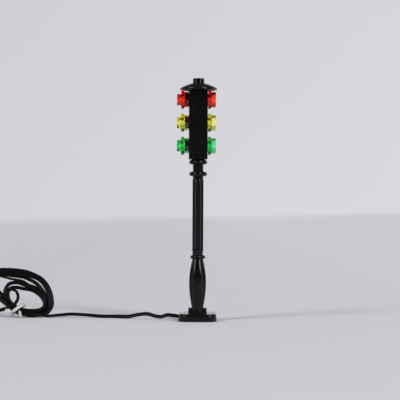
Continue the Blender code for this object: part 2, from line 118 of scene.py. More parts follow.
LEAD_CORE = 0.4 * MM  # radius of one of its two cores
RUN_ROUTE = (
    (-7.6, 0.0, 1.75), (-10.0, 0.3, 2.05), (-12.6, 0.9, 2.2), (-15.3, 1.9, 1.35), (-18.0, 2.9, 1.65),
    (-21.1, 4.2, 2.35), (-25.0, 6.0, 1.85), (-29.0, 7.7, 0.95), (-32.8, 9.0, 0.87), (-36.6, 9.6, 0.85),
    (-41.5, 10.1, 0.85), (-47.5, 10.7, 1.25), (-53.8, 11.3, 1.5), (-59.0, 11.5, 1.05), (-63.7, 11.3, 0.7),
)
RUN_ROLL = (112, 105, 90, 68, 76, 90, 90, 78, 62, 50, 50, 45, 40, 32, 15)  # of its flat side, in degrees
TAIL_ROUTE = (
    (-83.0, 10.9, 3.3), (-85.2, 10.9, 2.9), (-88.8, 11.1, 2.1), (-93.2, 11.2, 1.3), (-98.0, 10.6, 0.75),
    (-103.0, 9.4, 0.70), (-106.5, 8.7, 0.95), (-109.0, 8.5, 1.1),
)
TAIL_ROLL = (-80, -65, -40, -20, -5, 0, 0, 0)
COIL_ROUTE = (  # x and height of the hank's outer turns, from the tie up its left side
    (-77.2, 3.5), (-81.2, 6.6), (-85.0, 9.9), (-88.6, 12.4), (-90.6, 15.2), (-89.3, 17.9),
    (-85.0, 19.0), (-79.3, 18.9), (-74.2, 18.2), (-70.2, 16.9), (-67.0, 15.0), (-64.8, 12.1),
    (-63.6, 8.6), (-63.4, 5.2), (-65.0, 2.75), (-69.2, 1.95), (-73.5, 2.2),
)
INNER_ROUTE = (  # of the two smaller turns
    (-77.2, 3.5), (-80.2, 6.1), (-81.3, 8.8), (-81.2, 11.2), (-79.8, 12.8), (-77.3, 13.2),
    (-74.2, 12.6), (-70.7, 11.7), (-67.7, 10.0), (-65.7, 7.6), (-65.1, 5.0), (-66.6, 2.9),
    (-70.2, 2.0), (-73.8, 2.3),
)
CURL_ROUTE = (  # x, height and depth of the last small curl, which leaves as the tail
    (-79.4, 6.0, -1.2), (-80.6, 8.3, -1.3), (-80.5, 10.4, -1.3), (-79.2, 11.5, -1.4), (-77.3, 10.9, -1.5),
    (-76.3, 9.2, -1.7), (-76.4, 7.2, -2.0), (-77.7, 5.1, -2.4), (-80.2, 4.1, -1.9),
)
OUTER_TURNS = 5
COIL_Y = (10.4 * MM, math.tan(math.radians(12)))  # y at the floor, and how far it leans back
DEPTH = Vector((0, 1, -COIL_Y[1])).normalized()  # square to the hank's plane, away from the front
TIE_SAG = Vector((0.3, 0, -0.45)) * MM
PLUG = (4.6 * MM, 3.4 * MM, 2.2 * MM)
PLUG_END = -109.3 * MM
PLUG_Y = 8.5 * MM

scene = bpy.context.scene
record = frame["record"]


# ---------------------------------------------------------------- camera

def make_camera():
    data = bpy.data.cameras.new("camera")
    data.lens = 124.5
    data.sensor_width = 36.0
    data.clip_start = 0.01
    data.clip_end = 50.0
    camera = bpy.data.objects.new("camera", data)
    scene.collection.objects.link(camera)
    camera.location = (0.84 * MM, -577 * MM, 50.3 * MM)
    camera.rotation_euler = (math.radians(90), math.radians(-0.29), 0)
    scene.camera = camera


# ---------------------------------------------------------------- shapes

def eased(outline, size=EDGE, steps=4):
    """The outline (radius, height) with each inner corner rounded off; its two ends stay."""
    points = [Vector(p) for p in outline]
    line = [points[0]]
    for before, corner, after in zip(points, points[1:], points[2:]):
        back, on = before - corner, after - corner
        reach = min(size, 0.45 * back.length, 0.45 * on.length)
        first, last = corner + back.normalized() * reach, corner + on.normalized() * reach
        for i in range(steps + 1):
            t = i / steps
            line.append(first * (1 - t) ** 2 + corner * 2 * t * (1 - t) + last * t**2)
    return [*line, points[-1]]


def lathe(name, outline, sides=SIDES, closed=False, reshape=None):
    """The outline turned about Z. Its ends lie on the axis, or it is closed round a hole."""
    verts, rings = [], []
    for radius, height in outline:
        if radius < 1e-7:
            rings.append([len(verts)])
            verts.append((0, 0, height))
            continue
        rings.append(list(range(len(verts), len(verts) + sides)))
        for i in range(sides):
            angle = 2 * math.pi * i / sides
            reach = reshape(radius, angle, height) if reshape else radius
            verts.append((reach * math.cos(angle), reach * math.sin(angle), height))
    faces = []
    for upper, lower in zip(rings, rings[1:] + rings[:1] if closed else rings[1:]):
        for i in range(sides):
            j = (i + 1) % sides
            if len(upper) == 1:
                faces.append((upper[0], lower[i], lower[j]))
            elif len(lower) == 1:
                faces.append((upper[i], lower[0], upper[j]))
            else:
                faces.append((upper[i], lower[i], lower[j], upper[j]))
    mesh = bpy.data.meshes.new(name)
    mesh.from_pydata(verts, [], faces)
    return mesh


def block(name, size, centre=(0, 0, 0), edge=0.0, steps=3):
    shape = bmesh.new()
    bmesh.ops.create_cube(shape, size=1.0)
    bmesh.ops.scale(shape, vec=size, verts=shape.verts)
    if edge:
        bmesh.ops.bevel(
            shape, geom=shape.edges[:], offset=edge, segments=steps, profile=0.5, affect="EDGES"
        )
    bmesh.ops.translate(shape, vec=centre, verts=shape.verts)
    mesh = bpy.data.meshes.new(name)
    shape.to_mesh(mesh)
    shape.free()
    return mesh


def loose(name, mesh):
    obj = bpy.data.objects.new(name, mesh)
    scene.collection.objects.link(obj)
    return obj


def carved(mesh, steps):
    """The mesh after a list of (operation, other mesh) Booleans."""
    obj = loose("carving", mesh)
    others = []
    for operation, other in steps:
        cutter = loose("cutter", other)
        others.append(cutter)
        step = obj.modifiers.new(operation, "BOOLEAN")
        step.operation = operation
        step.solver = "EXACT"
        step.object = cutter
    bpy.context.view_layer.update()
    made = bpy.data.meshes.new_from_object(obj.evaluated_get(bpy.context.evaluated_depsgraph_get()))
    for used in [obj, *others]:
        bpy.data.objects.remove(used)
    return made


def piece(name, mesh, body, finish, nodes=(), sharp=40, weighted=True):
    obj = loose(name, mesh)
    mesh.materials.clear()
    mesh.materials.append(finish)
    mesh.shade_smooth()
    mesh.set_sharp_from_angle(angle=math.radians(sharp))
    if weighted:
        normals = obj.modifiers.new("normals", "WEIGHTED_NORMAL")
        normals.keep_sharp = True
        normals.weight = 80
    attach(obj, body)
    if nodes:
        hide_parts(*nodes)
    return obj


def along_x(mesh, x, height):
    """Lays a turned piece along X: its top faces -X and its zero height is at x."""
    mesh.transform(Matrix.Translation((x, 0, height)) @ Matrix.Rotation(-math.pi / 2, 4, "Y"))
    return mesh


# ---------------------------------------------------------------- materials

def new_material(name):
    made = bpy.data.materials.new(name)
    made.use_nodes = True
    return made, made.node_tree, made.node_tree.nodes["Principled BSDF"]


def noise(tree, scale, detail=3.0, stretch=(1, 1, 1)):
    """Noise with scale features to the millimetre, in the piece's own space."""
    where = tree.nodes.new("ShaderNodeTexCoord")
    spread = tree.nodes.new("ShaderNodeMapping")
    spread.inputs["Scale"].default_value = [1000 * scale * s for s in stretch]
    made = tree.nodes.new("ShaderNodeTexNoise")
    made.inputs["Scale"].default_value = 1.0
    made.inputs["Detail"].default_value = detail
    tree.links.new(where.outputs["Object"], spread.inputs["Vector"])
    tree.links.new(spread.outputs["Vector"], made.inputs["Vector"])
    return made.outputs["Fac"]


def ranged(tree, value, low, high, source=(0.3, 0.7)):
    made = tree.nodes.new("ShaderNodeMapRange")
    made.inputs["From Min"].default_value, made.inputs["From Max"].default_value = source
    made.inputs["To Min"].default_value, made.inputs["To Max"].default_value = low, high
    tree.links.new(value, made.inputs["Value"])
    return made.outputs["Result"]


def mixed_colour(tree, value, low, high, source=(0.3, 0.7)):
    made = tree.nodes.new("ShaderNodeMix")
    made.data_type = "RGBA"
    made.inputs[6].default_value = (*low, 1)
    made.inputs[7].default_value = (*high, 1)
    tree.links.new(ranged(tree, value, 0, 1, source), made.inputs[0])
    return made.outputs[2]


def bumped(tree, layers):
    """Bump layers (height, distance in metres, strength), one over another."""
    normal = None
    for height, distance, strength in layers:
        made = tree.nodes.new("ShaderNodeBump")
        made.inputs["Strength"].default_value = strength
        made.inputs["Distance"].default_value = distance
        tree.links.new(height, made.inputs["Height"])
        if normal:
            tree.links.new(normal, made.inputs["Normal"])
        normal = made.outputs["Normal"]
    return normal


def moulded(name, low, high, roughness, texture=0.5, sink=0.35):
    """Moulded plastic: faint flow marks and sink in its gloss, over a very fine grain."""
    made, tree, shader = new_material(name)
    flow = noise(tree, 0.22, 2.0, (1, 1, 0.35))
    grain = noise(tree, 9.0, 2.0)
    scuffs = noise(tree, 1.6, 4.0, (1, 1, 0.2))
    tree.links.new(mixed_colour(tree, flow, low, high), shader.inputs["Base Color"])
    tree.links.new(ranged(tree, scuffs, *roughness), shader.inputs["Roughness"])
    layers = [(flow, 0.02 * MM, sink), (grain, 0.002 * MM, texture)]
    tree.links.new(bumped(tree, layers), shader.inputs["Normal"])
    return made, shader


def black_plastic():
    made, shader = moulded("black_abs", (0.0012, 0.0013, 0.0015), (0.0022, 0.0024, 0.0027), (0.16, 0.26))
    shader.inputs["IOR"].default_value = 1.5
    shader.inputs["Specular IOR Level"].default_value = 0.27
    return made


def clear_plastic(name, tint, density):
    """Clear tinted plastic: the tint deepens with the thickness that light goes through."""
    made, tree, shader = new_material(name)
    flow = noise(tree, 0.35, 2.0)
    scuffs = noise(tree, 2.5, 4.0)
    shader.inputs["Base Color"].default_value = (0.98, 0.98, 0.98, 1)
    shader.inputs["Transmission Weight"].default_value = 1.0
    shader.inputs["IOR"].default_value = 1.53
    tree.links.new(ranged(tree, scuffs, 0.0, 0.035), shader.inputs["Roughness"])
    tree.links.new(bumped(tree, [(flow, 0.006 * MM, 0.2)]), shader.inputs["Normal"])
    volume = tree.nodes.new("ShaderNodeVolumeAbsorption")
    volume.inputs["Color"].default_value = (*tint, 1)
    volume.inputs["Density"].default_value = density
    tree.links.new(volume.outputs["Volume"], tree.nodes["Material Output"].inputs["Volume"])
    return made


def sheath():
    """Soft satin PVC of the lead, with faint ripples across it."""
    made, tree, shader = new_material("lead_pvc")
    blotch = noise(tree, 0.5, 3.0)
    fine = noise(tree, 6.0, 3.0)
    colour = mixed_colour(tree, blotch, (0.0010, 0.0010, 0.0012), (0.0024, 0.0024, 0.0028))
    tree.links.new(colour, shader.inputs["Base Color"])
    shader.inputs["Specular IOR Level"].default_value = 0.12
    tree.links.new(ranged(tree, fine, 0.32, 0.48), shader.inputs["Roughness"])
    layers = [(blotch, 0.04 * MM, 0.4), (fine, 0.006 * MM, 0.5)]
    tree.links.new(bumped(tree, layers), shader.inputs["Normal"])
    return made


def pale_plastic(name, low, high, roughness):
    made, shader = moulded(name, low, high, roughness, texture=0.8, sink=0.5)
    shader.inputs["Subsurface Weight"].default_value = 0.15
    shader.inputs["Subsurface Radius"].default_value = (0.6 * MM, 0.5 * MM, 0.45 * MM)
    shader.inputs["Subsurface Scale"].default_value = 1.0
    return made


def circuit_board():
    """Green solder mask with copper tracks under it."""
    made, tree, shader = new_material("solder_mask")
    where = tree.nodes.new("ShaderNodeTexCoord")
    tracks = tree.nodes.new("ShaderNodeTexWave")
    tracks.inputs["Scale"].default_value = 420.0
    tracks.inputs["Distortion"].default_value = 1.5
    tree.links.new(where.outputs["Object"], tracks.inputs["Vector"])
    colour = mixed_colour(tree, tracks.outputs["Fac"], (0.010, 0.09, 0.035), (0.03, 0.20, 0.08), (0.45, 0.55))
    tree.links.new(colour, shader.inputs["Base Color"])
    tree.links.new(ranged(tree, noise(tree, 5.0), 0.22, 0.4), shader.inputs["Roughness"])
    tree.links.new(bumped(tree, [(tracks.outputs["Fac"], 0.03 * MM, 0.6)]), shader.inputs["Normal"])
    return made


def led_chip():
    """A yellow phosphor dome showing in a white chip body."""
    made, tree, shader = new_material("led_phosphor")
    grain = noise(tree, 8.0, 3.0)
    colour = mixed_colour(tree, grain, (0.78, 0.66, 0.16), (0.88, 0.80, 0.38))
    tree.links.new(colour, shader.inputs["Base Color"])
    tree.links.new(ranged(tree, grain, 0.25, 0.45), shader.inputs["Roughness"])
    tree.links.new(bumped(tree, [(grain, 0.01 * MM, 0.5)]), shader.inputs["Normal"])
    return made


def resistor_body():
    made, tree, shader = new_material("resistor_glaze")
    grain = noise(tree, 7.0, 3.0)
    colour = mixed_colour(tree, grain, (0.015, 0.015, 0.018), (0.04, 0.04, 0.045))
    tree.links.new(colour, shader.inputs["Base Color"])
    tree.links.new(ranged(tree, grain, 0.3, 0.55), shader.inputs["Roughness"])
    tree.links.new(bumped(tree, [(grain, 0.008 * MM, 0.5)]), shader.inputs["Normal"])
    return made


def tinned():
    made, tree, shader = new_material("tin_plate")
    grain = noise(tree, 3.0, 3.0, (0.2, 2, 2))
    colour = mixed_colour(tree, grain, (0.62, 0.61, 0.57), (0.80, 0.79, 0.75))
    tree.links.new(colour, shader.inputs["Base Color"])
    shader.inputs["Metallic"].default_value = 1.0
    tree.links.new(ranged(tree, grain, 0.18, 0.36), shader.inputs["Roughness"])
    tree.links.new(bumped(tree, [(grain, 0.006 * MM, 0.4)]), shader.inputs["Normal"])
    return made


def glue():
    made, tree, shader = new_material("sleeve_silicone")
    cloud = noise(tree, 1.2, 3.0)
    colour = mixed_colour(tree, cloud, (0.62, 0.58, 0.46), (0.78, 0.75, 0.66))
    tree.links.new(colour, shader.inputs["Base Color"])
    shader.inputs["Subsurface Weight"].default_value = 0.4
    shader.inputs["Subsurface Radius"].default_value = (1.0 * MM, 0.9 * MM, 0.7 * MM)
    shader.inputs["Subsurface Scale"].default_value = 1.0
    tree.links.new(ranged(tree, cloud, 0.25, 0.4), shader.inputs["Roughness"])
    tree.links.new(bumped(tree, [(cloud, 0.05 * MM, 0.4)]), shader.inputs["Normal"])
    return made


# ---------------------------------------------------------------- lead

def on_hank(x, height, out=Vector((0, 0, 0)), back=0.0):
    """A point of the hank's leaning plane, from x and height in millimetres, moved out and back."""
    flat = Vector((x * MM, COIL_Y[0] + COIL_Y[1] * height * MM, height * MM))
    return flat + out * MM + DEPTH * back * MM


def outward(before, after):
    """The direction in the hank's plane to the left of travel, which is away from the hank's middle."""
    ahead = on_hank(*after) - on_hank(*before)
    return ahead.cross(DEPTH).normalized()


def tied_slot(count):
    """How far out and back the lead lies at its nth pass through the tie: two columns of four."""
    return (0.8, -1.2 + 0.8 * count) if count < 4 else (-0.8, 1.2 - 0.8 * (count - 4))


def outer_slots(turn):
    """Stations (share of the turn, out, back) of one of the outer turns, which part into four bands."""
    band = max(0, turn - 1)
    back = (-0.42, 0.42, 0.0, 0.2, 0.0)[turn]
    top = ((1.05, -0.42), (1.0, 0.42), (-0.1, 0.0), (-1.35, 0.2), (-2.9, -0.2))[turn]
    return (
        (0.0, *tied_slot(turn)),
        (0.13, 1.2 - 0.5 * turn, 0.45 * (-1) ** turn),
        (0.27, 0.7 - 0.12 * turn, 0.7 * (turn - 2)),
        (0.42, *top),
        (0.48, (1.15, -0.1, -1.4, -3.05)[band], back),
        (0.54, (1.05, 0.25, -1.65, -3.75)[band], back),
        (0.60, (1.15, 0.3, -1.75, -3.4)[band], back),
        (0.66, (1.25, 0.2, -1.5, -2.4)[band], back),
        (0.71, (1.45, 0.35, -0.8, -1.7)[band], back),
        (0.78, (1.45, 0.1, -0.9, -1.4)[band], back),
        (0.87, *tied_slot(turn + 1)),
        (1.0, *tied_slot(turn + 1)),
    )


def inner_slots(turn):
    """Stations of one of the two smaller turns, which part over their tops."""
    apart = 1 - 2 * turn
    start = OUTER_TURNS + turn
    return (
        (0.0, *tied_slot(start)),
        (0.16, 0.5 * apart, -0.5 * apart),
        (0.34, 0.5 + 1.1 * apart, -0.3 * apart),
        (0.42, 0.4 + 0.9 * apart, -0.4 * apart),
        (0.52, 0.25 + 0.35 * apart, -0.45 * apart),
        (0.60, 0.15 + 0.15 * apart, -0.6 * apart),
        (0.68, 0.15, -0.85 * apart),
        (0.86, *tied_slot(start + 1)),
        (1.0, *tied_slot(start + 1)),
    )


def at_share(stations, share):
    """Out and back at a share of the turn, eased from station to station."""
    for (start, *here), (end, *there) in zip(stations, stations[1:]):
        if share <= end:
            t = (share - start) / (end - start)
            t = t * t * (3 - 2 * t)
            return [a + (b - a) * t for a, b in zip(here, there)]
    return stations[-1][1:]


def turn_knots(route, stations, first=0, on_edge=0.0):
    """Knots (point, flat direction) of one turn, from the tie round to just before it.

    The lead leans to on_edge degrees, 90 being on its edge, over the hank's top left.
    """
    count = len(route)
    knots = []
    for i in range(first, count):
        out = outward(route[i - 1], route[(i + 1) % count])
        share = i / count
        wander = math.sin(math.pi * share)
        reach, back = at_share(stations, share)
        reach += 0.10 * wander * math.sin(9 * share + 3 * stations[0][2])
        back += 0.10 * wander * math.sin(13 * share + 5 * stations[0][1])
        tilt = math.radians(14) * wander * math.sin(7 * share + 4 * stations[0][2])
        tilt += math.radians(on_edge) * max(0.0, 1 - ((share - 0.40) / 0.18) ** 4)
        flat = out * math.cos(tilt) + DEPTH * math.sin(tilt)
        knots.append((on_hank(*route[i], out * reach, back), flat))
    return knots


def rolled(ahead, roll):
    """The lead's flat direction: level and square to its way ahead at 0 degrees, straight up at 90."""
    level = Vector((0, 0, 1)).cross(ahead).normalized()
    up = ahead.cross(level).normalized()
    angle = math.radians(roll)
    return -level * math.cos(angle) + up * math.sin(angle)


def route_knots(route, rolls):
    points = [Vector(p) * MM for p in route]
    ways = [b - a for a, b in zip(points[:1] + points, points[1:] + points[-1:])]
    ways[-1] = points[-1] - points[-2]
    return [(point, rolled(way, roll)) for point, way, roll in zip(points, ways, rolls)]


def lead_knots():
    start = Vector((-6.4, 0.0, 1.4)) * MM
    knots = route_knots(RUN_ROUTE, RUN_ROLL)
    knots.insert(0, (start, knots[0][1]))
    knots.append((Vector((-66.8, 10.4, 0.97)) * MM, Vector((0.1, 0.85, -0.5))))
    knots += turn_knots(COIL_ROUTE, ((0.0, *tied_slot(0)), (1.0, *tied_slot(0))), len(COIL_ROUTE) - 2)
    for turn in range(OUTER_TURNS):
        knots += turn_knots(COIL_ROUTE, outer_slots(turn), on_edge=85 if turn == OUTER_TURNS - 1 else 0)
    for turn in range(2):
        knots += turn_knots(INNER_ROUTE, inner_slots(turn))
    last = tied_slot(OUTER_TURNS + 2)
    out = outward(INNER_ROUTE[-1], INNER_ROUTE[1])
    knots.append((on_hank(*INNER_ROUTE[0], out * last[0], last[1]), out))
    curl = [on_hank(x, height, back=back) for x, height, back in CURL_ROUTE]
    around = [knots[-1][0], *curl, Vector(TAIL_ROUTE[0]) * MM]
    for before, point, after in zip(around, around[1:], around[2:]):
        out = DEPTH.cross(after - before).normalized()
        knots.append((point, out * 0.55 - DEPTH * 0.83))
    knots += route_knots(TAIL_ROUTE, TAIL_ROLL)
    knots.append((Vector((PLUG_END - 0.8 * MM, PLUG_Y, PLUG[2] / 2)), knots[-1][1]))
    return knots


def smooth_lead(knots, step):
    """Rings (point, flat direction) a step apart on the smooth curve through the knots."""
    values = [Vector((*point, *(flat * MM))) for point, flat in knots]
    values = [2 * values[0] - values[1], *values, 2 * values[-1] - values[-2]]
    rings = []
    for a, b, c, d in zip(values, values[1:], values[2:], values[3:]):
        count = max(1, round((c - b).length / step))
        for i in range(count):
            t = i / count
            at = 0.5 * (2 * b + (c - a) * t + (2 * a - 5 * b + 4 * c - d) * t**2
                        + (3 * b - a - 3 * c + d) * t**3)
            rings.append((Vector(at[:3]), Vector(at[3:])))
    rings.append((Vector(values[-2][:3]), Vector(values[-2][3:])))
    return rings


def lead_section():
    """The outline of a flat twin lead: two round cores with a groove between them."""
    web, count = 145, 9
    right = [math.radians(-web + 2 * web * i / count) for i in range(count + 1)]
    outline = [(LEAD_CORE * (1 + math.cos(a)), LEAD_CORE * math.sin(a)) for a in right]
    return outline + [(-x, -y) for x, y in outline]


def swept(name, rings, outline, capped=True):
    """A tube of that section, (along the flat direction, across it), through the rings."""
    points = [point for point, _ in rings]
    verts, faces, size = [], [], len(outline)
    for i, (point, flat) in enumerate(rings):
        ahead = (points[min(i + 1, len(points) - 1)] - points[max(i - 1, 0)]).normalized()
        flat = (flat - ahead * flat.dot(ahead)).normalized()
        across = ahead.cross(flat)
        verts += [point + flat * x + across * y for x, y in outline]
    for i in range(len(rings) - 1):
        for j in range(size):
            k = (j + 1) % size
            faces.append((i * size + j, i * size + k, (i + 1) * size + k, (i + 1) * size + j))
    if capped:
        faces.append(tuple(range(size - 1, -1, -1)))
        faces.append(tuple(range(len(verts) - size, len(verts))))
    mesh = bpy.data.meshes.new(name)
    mesh.from_pydata(verts, [], faces)
    return mesh


def make_lead(finish):
    rings = smooth_lead(lead_knots(), 0.5 * MM)
    mesh = swept("twin_lead", rings, lead_section())
    nodes = ("cord_run", "cord_coil", "cord_tail")
    obj = piece("twin_lead", mesh, "post", finish, nodes, 75, False)
    return obj, [point for point, _ in rings]


# ---------------------------------------------------------------- tie and plug

def tie_ring(centre):
    """Rings of the tie's band, once round the hank at its centre there and leaning with the lead."""
    out = outward(COIL_ROUTE[-1], COIL_ROUTE[1])
    ahead = DEPTH.cross(out).normalized()
    ahead = -ahead if ahead.x > 0 else ahead
    rings = []
    for i in range(49):
        angle = math.radians(-62 - 350 * i / 48)
        wide = (3.65 * math.cos(angle) - 0.35) * MM
        deep = 2.15 * MM * math.sin(angle)
        lean = 1.5 * MM * math.cos(angle)
        point = centre + out * wide + DEPTH * deep + ahead * lean + TIE_SAG
        rings.append((point, ahead))
    return rings


def ribbon_section(width, thin, wire):
    """Flat wings either side of a round wire."""
    half = width / 2
    upper = [(-half, thin / 2), (-wire * 1.3, thin / 2), (-wire * 0.7, wire * 0.8), (0, wire)]
    upper += [(-x, y) for x, y in upper[-2::-1]]
    return upper[::-1] + [(x, -y) for x, y in upper]


def twist_tie(finish):
    """A paper-thin ribbon with a wire down its middle, once round the hank, its ends twisted together."""
    centre = on_hank(*COIL_ROUTE[0])
    band = swept("tie_band", tie_ring(centre), ribbon_section(1.3 * MM, 0.14 * MM, 0.26 * MM))
    obj = piece("tie_band", band, "post", finish, ("twist_tie",), 50, False)
    tails = []
    start = Vector((-75.3 * MM, centre.y - 2.5 * MM, 2.9 * MM))
    end = Vector((-74.8 * MM, centre.y - 2.8 * MM, 0.48 * MM))
    for side in (0, 1):
        line = []
        for i in range(25):
            share = i / 24
            turn = math.radians(420 * share + 180 * side)
            wide = Vector((math.cos(turn), math.sin(turn), 0))
            spot = start.lerp(end, share) + wide * 0.38 * MM * min(1.0, 0.4 + 2 * share)
            line.append((spot, Vector((-math.sin(turn), math.cos(turn), 0.1))))
        mesh = swept(f"tie_end_{side}", line, ribbon_section(1.1 * MM, 0.16 * MM, 0.2 * MM))
        tails.append(piece(f"tie_end_{side}", mesh, "post", finish, (), 50, False))
    return [obj, *tails]


def plug(housing_finish, contact_finish):
    """A two-way crimp housing: a keyed body, a latch window and ribs either side of the mouth."""
    length, width, height = PLUG
    middle = Vector((PLUG_END - length / 2, PLUG_Y, height / 2))
    body = block("plug_body", PLUG, middle, 0.22 * MM, 4)
    wall = 0.5 * MM
    mouth_size = (2 * (length - 1.4 * MM), width - 2 * wall, height - 2 * wall)
    cuts = [("DIFFERENCE", block("mouth", mouth_size, (PLUG_END - length, PLUG_Y, height / 2), 0.12 * MM, 2))]
    for side in (-1, 1):
        window = (1.0 * MM, 0.6 * MM, 0.5 * MM)
        at = (PLUG_END - 1.9 * MM, PLUG_Y + side * 0.6 * MM, height)
        cuts.append(("DIFFERENCE", block("window", window, at, 0.06 * MM, 1)))
        groove = (3.0 * MM, 0.3 * MM, 0.5 * MM)
        at = (PLUG_END - length, PLUG_Y + side * width / 2, height / 2)
        cuts.append(("DIFFERENCE", block("groove", groove, at, 0.05 * MM, 1)))
    shell = carved(body, cuts)
    housing = piece("crimp_housing", shell, "post", housing_finish, ("plug_housing",))
    contacts = []
    for name, side in (("plug_contact_a", -1), ("plug_contact_b", 1)):
        low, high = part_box(name)
        size = high - low
        pin = block(f"pin_{name[-1]}", size, (low + high) / 2, 0.09 * MM, 3)
        contacts.append(piece(f"pin_{name[-1]}", pin, "post", contact_finish, (name,)))
    return [housing, *contacts]


# ---------------------------------------------------------------- lamp post

def belly(height):
    """Radius of the baluster: two sine quarters that meet at its widest height."""
    radius, end = BELLY_FOOT if height < BELLY_HEIGHT else BELLY_HEAD
    share = (height - end) / (BELLY_HEIGHT - end)
    return radius + (BELLY_RADIUS - radius) * math.sin(math.pi / 2 * max(0.0, min(1.0, share)))


def fluted(radius, angle, height):
    """The radius left at this angle and height once the flutes are scooped from the post."""
    start, end = SHAFT_ENDS
    if radius < BORE_RADIUS * 1.01:
        return radius
    if BELLY_FOOT[1] * 0.9 < height < BELLY_HEAD[1]:
        middle = BELLY_FLUTE - BELLY_FLUTE_FALL * (height - BELLY_HEIGHT) ** 2
        edge = BELLY_RADIUS - BELLY_FLUTE / math.cos(math.pi / FLUTES)
    elif start - SHAFT_CHAMFER < height < end + SHAFT_CHAMFER:
        runout = max(0.0, 1 - min(height - start, end - height) / FLUTE_RUNOUT)
        middle = SHAFT_FLUTE + (SHAFT_RADIUS - SHAFT_FLUTE) * runout**2
        edge = SHAFT_RADIUS - SHAFT_FLUTE / math.cos(math.pi / FLUTES)
    else:
        return radius
    half = math.pi / FLUTES
    away = (angle + half) % (2 * half) - half
    return min(radius, middle / math.cos(away) + edge * (away / half) ** 2)


def arc(centre, radius, start, end, steps):
    angles = [math.radians(start + (end - start) * i / steps) for i in range(steps + 1)]
    return [(centre[0] + radius * math.cos(a), centre[1] + radius * math.sin(a)) for a in angles]


def spaced(start, end, count):
    return [start + (end - start) * i / count for i in range(count + 1)]


def post_outline():
    """Closed outline of the turned post, down its outer side and up the bore."""
    low, middle, high = RINGS
    start, end = SHAFT_ENDS
    foot = CAVITY_DEPTH + 0.4 * MM
    top = POST_HEIGHT + STUD_HEIGHT
    outline = eased([(BORE_RADIUS, top), (STUD_RADIUS, top), (STUD_RADIUS, POST_HEIGHT)])
    outline += [(high[1] - high[2] - EDGE, POST_HEIGHT), (high[1] - high[2], POST_HEIGHT - 0.02 * MM)]
    for size in (high, middle):
        outline += arc((size[1] - size[2], size[0]), size[2], 88, -90, 16)
        outline.append((NECK_RADIUS + EDGE, size[0] - size[2]))
        outline.append((NECK_RADIUS, size[0] - size[2] - EDGE))
        above = size[0] - size[2] - 2 * EDGE
        below = middle[0] + middle[2] + EDGE if size is high else end + 2 * SHAFT_CHAMFER
        outline += [(NECK_RADIUS, height) for height in spaced(above, below, 6)]
        if size is high:
            outline.append((NECK_RADIUS + EDGE, middle[0] + middle[2]))
    outline += [(NECK_RADIUS, end + SHAFT_CHAMFER), (SHAFT_RADIUS, end)]
    rows = spaced(end - 0.1 * MM, end - FLUTE_RUNOUT, 8) + spaced(end - 1.4 * MM, start + 1.4 * MM, 30)
    rows += spaced(start + FLUTE_RUNOUT, start + 0.1 * MM, 8)
    outline += [(SHAFT_RADIUS, height) for height in rows]
    outline += [(SHAFT_RADIUS, start), (NECK_RADIUS, start - SHAFT_CHAMFER)]
    outline += [(NECK_RADIUS, low[0] + low[2] + EDGE), (NECK_RADIUS + EDGE, low[0] + low[2])]
    outline += arc((low[1] - low[2], low[0]), low[2], 90, -90, 16)
    outline += [(NECK_RADIUS + EDGE, low[0] - low[2])]
    outline += [(belly(height), height) for height in spaced(BELLY_HEAD[1], BELLY_FOOT[1], 64)]
    return [*outline, (BELLY_FOOT[0], foot), (BORE_RADIUS, foot)]


def collar():
    """The four round lobes at the foot of the post, as one outline with soft upper edges."""
    verts, faces, rings = [], [], []
    reach = LOBE_REACH - LOBE_RADIUS
    levels = [(BASE_HEIGHT - 0.3 * MM, 0.0), (COLLAR_TOP - 0.2 * MM, 0.0)]
    levels += [(COLLAR_TOP - 0.2 * MM * (1 - math.sin(a)), 0.2 * MM * (1 - math.cos(a)))
               for a in (math.radians(18 * i) for i in range(1, 6))]
    for height, inset in levels:
        rings.append(len(verts))
        for i in range(144):
            angle = 2 * math.pi * i / 144
            away = (angle + math.pi / 4) % (math.pi / 2) - math.pi / 4
            lobe = LOBE_RADIUS - inset - 0.045 * (height - BASE_HEIGHT)
            radius = reach * math.cos(away) + math.sqrt(lobe**2 - (reach * math.sin(away)) ** 2)
            verts.append((radius * math.cos(angle), radius * math.sin(angle), height))
    for low, high in zip(rings, rings[1:]):
        faces += [(low + i, low + (i + 1) % 144, high + (i + 1) % 144, high + i) for i in range(144)]
    faces.append(tuple(range(143, -1, -1)))
    faces.append(tuple(range(rings[-1], rings[-1] + 144)))
    mesh = bpy.data.meshes.new("collar")
    mesh.from_pydata(verts, [], faces)
    return mesh


def foot_plate():
    """The square foot, with round corners and softened edges."""
    shape = bmesh.new()
    bmesh.ops.create_cube(shape, size=1.0)
    bmesh.ops.scale(shape, vec=(BASE_SIDE, BASE_SIDE, BASE_HEIGHT), verts=shape.verts)
    bmesh.ops.translate(shape, vec=(0, 0, BASE_HEIGHT / 2), verts=shape.verts)
    upright = [e for e in shape.edges if abs(e.verts[0].co.z - e.verts[1].co.z) > BASE_HEIGHT / 2]
    bmesh.ops.bevel(shape, geom=upright, offset=BASE_CORNER, segments=14, profile=0.5, affect="EDGES")
    for level, offset, steps in ((BASE_HEIGHT, 1.0 * MM, 9), (0.0, 0.12 * MM, 2)):
        rim = [e for e in shape.edges if all(abs(v.co.z - level) < 1e-6 for v in e.verts)]
        bmesh.ops.bevel(shape, geom=rim, offset=offset, segments=steps, profile=0.5, affect="EDGES")
    mesh = bpy.data.meshes.new("foot_plate")
    shape.to_mesh(mesh)
    shape.free()
    return mesh


